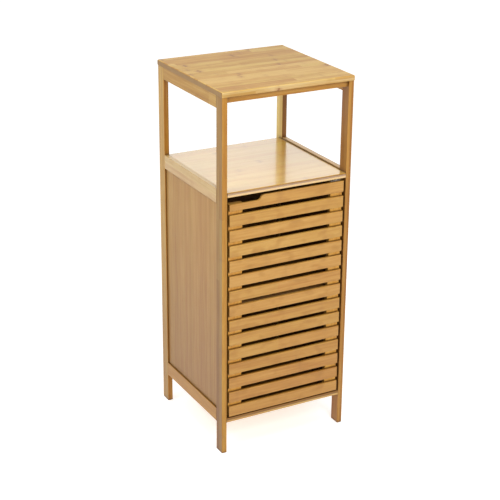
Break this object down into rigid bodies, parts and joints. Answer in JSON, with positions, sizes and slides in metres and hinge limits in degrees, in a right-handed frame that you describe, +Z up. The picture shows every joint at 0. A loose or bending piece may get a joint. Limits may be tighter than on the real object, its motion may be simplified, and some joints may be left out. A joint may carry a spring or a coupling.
{
  "type": "slatted door floor cabinet",
  "caption": "Narrow four-legged bamboo floor cabinet: open bay under a flat top, shelf, and a cupboard below closed by a pivot-hung door of horizontal slats with a finger notch.",
  "frame": {"origin": "on the floor, at the centre of the footprint", "axes": "+X to the right seen from the front, +Y from the front to the back, +Z up; the door faces -Y"},
  "size_m": [0.343, 0.337, 0.9],
  "materials": {
    "bamboo_frame": "clear satin lacquer on laminated bamboo",
    "bamboo_board": "clear gloss lacquer on laminated bamboo",
    "bamboo_panel": "clear satin lacquer on laminated bamboo",
    "bamboo_door": "clear satin lacquer on laminated bamboo",
    "beech_dowel": "raw beech",
    "steel": "zinc-plated steel",
    "zinc": "die-cast zinc",
    "catch_plastic": "moulded plastic",
    "magnet": "dark ferrite"
  },
  "bodies": {
    "cabinet": {"back_left_leg": "bamboo_frame", "back_panel": "bamboo_panel", "back_panel_screws": "steel", "back_right_leg": "bamboo_frame", "batten_screws": "steel", "cam_bolts": "steel", "cam_locks": "zinc", "catch_body": "catch_plastic", "catch_magnet": "magnet", "catch_screws": "steel", "floor_board": "bamboo_board", "floor_left_rail": "bamboo_frame", "floor_right_rail": "bamboo_frame", "frame_dowels": "beech_dowel", "front_left_leg": "bamboo_frame", "front_right_leg": "bamboo_frame", "hinge_bottom_pin": "steel", "hinge_bottom_washer": "steel", "hinge_frame_plate": "steel", "hinge_frame_screw": "steel", "hinge_top_pin": "steel", "hinge_top_washer": "steel", "inner_left_batten": "bamboo_frame", "inner_right_batten": "bamboo_frame", "inner_shelf": "bamboo_board", "left_side_panel": "bamboo_panel", "right_side_panel": "bamboo_panel", "shelf_board": "bamboo_board", "shelf_left_rail": "bamboo_frame", "shelf_right_rail": "bamboo_frame", "top_back_rail": "bamboo_frame", "top_board": "bamboo_board", "top_front_rail": "bamboo_frame", "top_left_rail": "bamboo_frame", "top_right_rail": "bamboo_frame", "top_screws": "steel"},
    "door": {"door_left_stile": "bamboo_door", "door_right_stile": "bamboo_door", "door_slat_01": "bamboo_door", "door_slat_02": "bamboo_door", "door_slat_03": "bamboo_door", "door_slat_04": "bamboo_door", "door_slat_05": "bamboo_door", "door_slat_06": "bamboo_door", "door_slat_07": "bamboo_door", "door_slat_08": "bamboo_door", "door_slat_09": "bamboo_door", "door_slat_10": "bamboo_door", "door_slat_11": "bamboo_door", "door_slat_12": "bamboo_door", "door_slat_13": "bamboo_door", "door_slat_14": "bamboo_door", "door_slat_15": "bamboo_door", "hinge_door_plate": "steel", "hinge_door_screw": "steel", "slat_screws": "steel", "strike_plate": "steel"}
  },
  "joints": [
    {"name": "door_hinge", "type": "hinge", "parent": "cabinet", "child": "door", "pos_m": [0.136, -0.155, 0.372], "axis": [0, 0, 1], "range_deg": [0, 110]}
  ]
}
